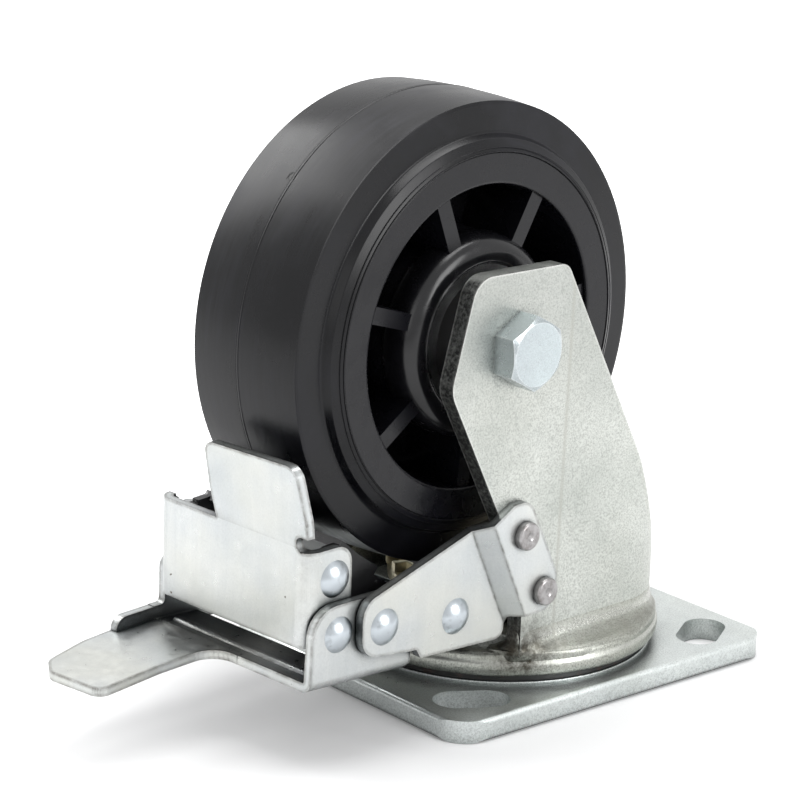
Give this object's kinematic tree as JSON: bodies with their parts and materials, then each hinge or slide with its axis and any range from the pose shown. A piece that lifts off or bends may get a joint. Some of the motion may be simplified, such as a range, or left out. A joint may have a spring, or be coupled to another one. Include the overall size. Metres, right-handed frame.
{
  "type": "swivel castor",
  "caption": "Heavy swivel castor with a slotted top plate, a pressed fork, a black spoked wheel and a foot pedal that brakes both wheel and swivel.",
  "frame": {"origin": "swivel axis in the plane of the mounting face, the plate's underside as stored", "axes": "+Z along the swivel axis from the mounting face towards the wheel; +X along the plate's length, away from the pedal; +Y across the plate"},
  "size_m": [0.2066, 0.1016, 0.167],
  "materials": {
    "plate_zinc": "satin zinc plate",
    "fork_zinc": "grained zinc plate",
    "brake_zinc": "bright zinc plate",
    "bolt_zinc": "bright zinc plate",
    "rivet_steel": "zinc plated, worn",
    "bare_steel": "machined",
    "ball_steel": "polished",
    "race_zinc": "yellowed zinc, greased",
    "lever_black": "satin black",
    "tyre_black": "satin moulded",
    "core_black": "moulded",
    "seal_black": "soft"
  },
  "bodies": {
    "base": {"top_plate": "plate_zinc", "king_pin": "rivet_steel", "king_pin_nut": "rivet_steel", "race_cup": "race_zinc", "lock_ring": "race_zinc", "dust_seal": "seal_black"},
    "fork_group": {"fork": "fork_zinc", "load_balls": "ball_steel", "retaining_balls": "ball_steel", "axle_bolt": "bolt_zinc", "axle_nut": "bolt_zinc", "axle_sleeve": "bare_steel", "spacer_right": "bare_steel", "spacer_left": "bare_steel", "bearing_inner_right": "bare_steel", "bearing_inner_left": "bare_steel", "bracket_arm_right": "brake_zinc", "bracket_arm_left": "brake_zinc", "bracket_rivets": "rivet_steel", "pedal_rivets": "rivet_steel", "lever_pin": "rivet_steel", "lever_bushes": "bare_steel"},
    "pedal_group": {"pedal": "brake_zinc", "link_rivets": "rivet_steel"},
    "tab_group": {"release_tab": "brake_zinc", "tab_rivets": "rivet_steel"},
    "lever_group": {"brake_lever": "lever_black"},
    "wheel_group": {"wheel_core": "core_black", "tyre": "tyre_black", "bearing_outer_right": "bare_steel", "bearing_outer_left": "bare_steel", "bearing_balls": "ball_steel", "bearing_seals": "seal_black"}
  },
  "joints": [
    {"name": "swivel", "type": "hinge", "parent": "base", "child": "fork_group", "pos_m": [0, 0, 0], "axis": [0, 0, 1], "continuous": true},
    {"name": "wheel_spin", "type": "hinge", "parent": "fork_group", "child": "wheel_group", "pos_m": [-0.03512, -0.00233, 0.1035], "axis": [-0.0663, 0.9978, 0], "continuous": true},
    {"name": "pedal_swing", "type": "hinge", "parent": "fork_group", "child": "pedal_group", "pos_m": [-0.07833, -0.0052, 0.0355], "axis": [-0.0663, 0.9978, 0], "range_deg": [0, 14]},
    {"name": "tab_swing", "type": "hinge", "parent": "pedal_group", "child": "tab_group", "pos_m": [-0.092, -0.00611, 0.0358], "axis": [-0.0663, 0.9978, 0], "range_deg": [-9.3, 0]},
    {"name": "lever_swing", "type": "hinge", "parent": "fork_group", "child": "lever_group", "pos_m": [-0.05208, -0.00346, 0.0322], "axis": [-0.0663, 0.9978, 0], "range_deg": [0, 4.8]}
  ],
  "couplings": [
    {"joint": "tab_swing", "follows": "pedal_swing", "ratio": -0.66},
    {"joint": "lever_swing", "follows": "pedal_swing", "ratio": 0.3407}
  ]
}
